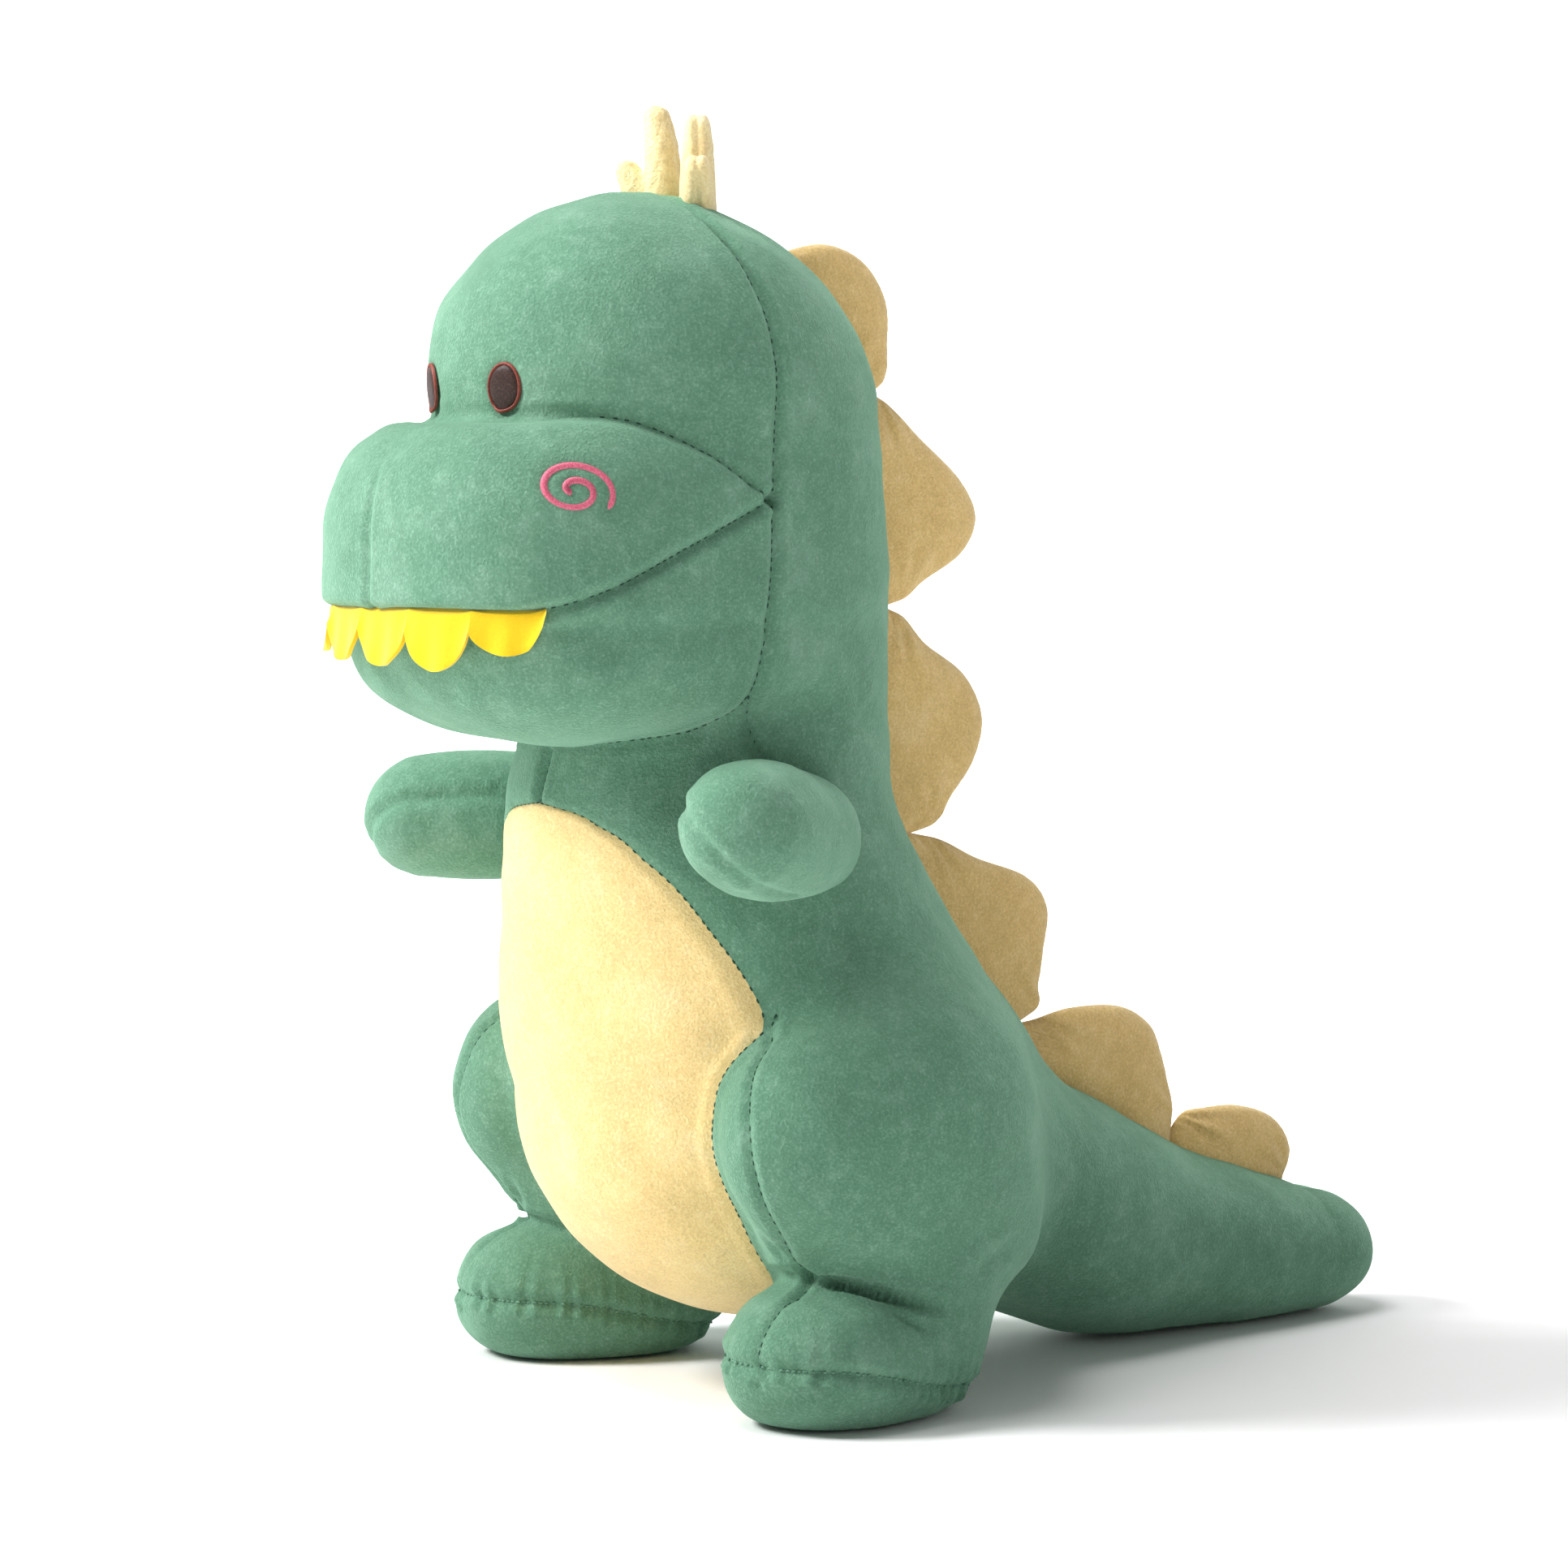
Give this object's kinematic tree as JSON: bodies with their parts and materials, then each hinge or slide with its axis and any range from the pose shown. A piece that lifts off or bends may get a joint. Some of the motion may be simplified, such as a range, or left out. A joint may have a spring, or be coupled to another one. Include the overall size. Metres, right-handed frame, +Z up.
{
  "type": "stuffed dinosaur",
  "caption": "Standing soft plush dinosaur with a boxy muzzle, felt teeth, small arms, stuffed horns, a back crest and a thick tail.",
  "frame": {"origin": "on the floor, under the middle of the whole toy's length and width", "axes": "+Z up, -Y the way the dinosaur faces, +X its left side, which is its plane of symmetry's normal"},
  "size_m": [0.2554, 0.4362, 0.4428],
  "materials": {
    "green_plush": "short-pile velboa plush with a brushed nap",
    "cream_plush": "short-pile plush, pale warm yellow",
    "crest_plush": "short-pile plush, honey yellow",
    "horn_plush": "short-pile plush, pale yellow",
    "yellow_felt": "cut felt, bright yellow",
    "brown_thread": "satin-stitched embroidery, dark brown with a red-brown rim",
    "pink_thread": "satin-stitched embroidery, pink",
    "fibre_stuffing": "white polyester fibre filling"
  },
  "bodies": {
    "torso": {"jaw_panel": "green_plush", "muzzle_panel": "green_plush", "crown_panel": "green_plush", "belly_panel": "cream_plush", "sole_left": "green_plush", "sole_right": "green_plush", "inner_leg_panel_left": "green_plush", "inner_leg_panel_right": "green_plush", "chest_panel_left": "green_plush", "chest_panel_right": "green_plush", "side_panel_left": "green_plush", "side_panel_right": "green_plush", "head_stuffing": "fibre_stuffing", "torso_stuffing": "fibre_stuffing", "leg_stuffing_left": "fibre_stuffing", "leg_stuffing_right": "fibre_stuffing", "eye_embroidery_left": "brown_thread", "eye_embroidery_right": "brown_thread", "cheek_swirl_left": "pink_thread", "cheek_swirl_right": "pink_thread", "felt_teeth": "yellow_felt"},
    "arm_left": {"arm_upper_panel_left": "green_plush", "arm_lower_panel_left": "green_plush", "arm_stuffing_left": "fibre_stuffing"},
    "arm_right": {"arm_upper_panel_right": "green_plush", "arm_lower_panel_right": "green_plush", "arm_stuffing_right": "fibre_stuffing"},
    "tail": {"tail_panel_left": "green_plush", "tail_panel_right": "green_plush", "tail_stuffing": "fibre_stuffing"},
    "horn_left": {"horn_casing_left": "horn_plush", "horn_stuffing_left": "fibre_stuffing"},
    "horn_right": {"horn_casing_right": "horn_plush", "horn_stuffing_right": "fibre_stuffing"},
    "crest_plate_1": {"crest_plate_1_casing": "crest_plush", "crest_plate_1_stuffing": "fibre_stuffing"},
    "crest_plate_2": {"crest_plate_2_casing": "crest_plush", "crest_plate_2_stuffing": "fibre_stuffing"},
    "crest_plate_3": {"crest_plate_3_casing": "crest_plush", "crest_plate_3_stuffing": "fibre_stuffing"},
    "crest_plate_4": {"crest_plate_4_casing": "crest_plush", "crest_plate_4_stuffing": "fibre_stuffing"},
    "crest_plate_5": {"crest_plate_5_casing": "crest_plush", "crest_plate_5_stuffing": "fibre_stuffing"},
    "crest_plate_6": {"crest_plate_6_casing": "crest_plush", "crest_plate_6_stuffing": "fibre_stuffing"}
  },
  "joints": [
    {"name": "arm_left_raise", "type": "hinge", "parent": "torso", "child": "arm_left", "pos_m": [0.079, -0.09995, 0.197], "axis": [-0.8192, -0.5736, 0], "range_deg": [-20, 25], "stiffness_Nm_per_rad": 0.2},
    {"name": "arm_right_raise", "type": "hinge", "parent": "torso", "child": "arm_right", "pos_m": [-0.079, -0.09995, 0.197], "axis": [-0.8192, 0.5736, 0], "range_deg": [-20, 25], "stiffness_Nm_per_rad": 0.2},
    {"name": "tail_wag", "type": "hinge", "parent": "torso", "child": "tail", "pos_m": [0, 0.04505, 0.057], "axis": [0, 0, 1], "range_deg": [-15, 15], "stiffness_Nm_per_rad": 1},
    {"name": "horn_left_flop", "type": "hinge", "parent": "torso", "child": "horn_left", "pos_m": [0.011, -0.09245, 0.407], "axis": [1, 0, 0], "range_deg": [-25, 6], "stiffness_Nm_per_rad": 0.02},
    {"name": "horn_right_flop", "type": "hinge", "parent": "torso", "child": "horn_right", "pos_m": [-0.011, -0.09245, 0.407], "axis": [1, 0, 0], "range_deg": [-25, 6], "stiffness_Nm_per_rad": 0.02},
    {"name": "crest_plate_1_flop", "type": "hinge", "parent": "torso", "child": "crest_plate_1", "pos_m": [0, -0.0265, 0.37135], "axis": [0, 0.5875, -0.8092], "range_deg": [-35, 35], "stiffness_Nm_per_rad": 0.03},
    {"name": "crest_plate_2_flop", "type": "hinge", "parent": "torso", "child": "crest_plate_2", "pos_m": [0, -0.01155, 0.3065], "axis": [0, 0.0869, -0.9962], "range_deg": [-35, 35], "stiffness_Nm_per_rad": 0.03},
    {"name": "crest_plate_3_flop", "type": "hinge", "parent": "torso", "child": "crest_plate_3", "pos_m": [0, -0.00545, 0.2305], "axis": [0, 0.0817, -0.9967], "range_deg": [-35, 35], "stiffness_Nm_per_rad": 0.03},
    {"name": "crest_plate_4_flop", "type": "hinge", "parent": "torso", "child": "crest_plate_4", "pos_m": [0, 0.0228, 0.15525], "axis": [0, 0.5675, -0.8233], "range_deg": [-35, 35], "stiffness_Nm_per_rad": 0.03},
    {"name": "crest_plate_5_flop", "type": "hinge", "parent": "tail", "child": "crest_plate_5", "pos_m": [0, 0.08405, 0.10035], "axis": [0, 0.8581, -0.5134], "range_deg": [-35, 35], "stiffness_Nm_per_rad": 0.03},
    {"name": "crest_plate_6_flop", "type": "hinge", "parent": "tail", "child": "crest_plate_6", "pos_m": [0, 0.1533, 0.0669], "axis": [0, 0.9397, -0.3421], "range_deg": [-35, 35], "stiffness_Nm_per_rad": 0.03}
  ]
}
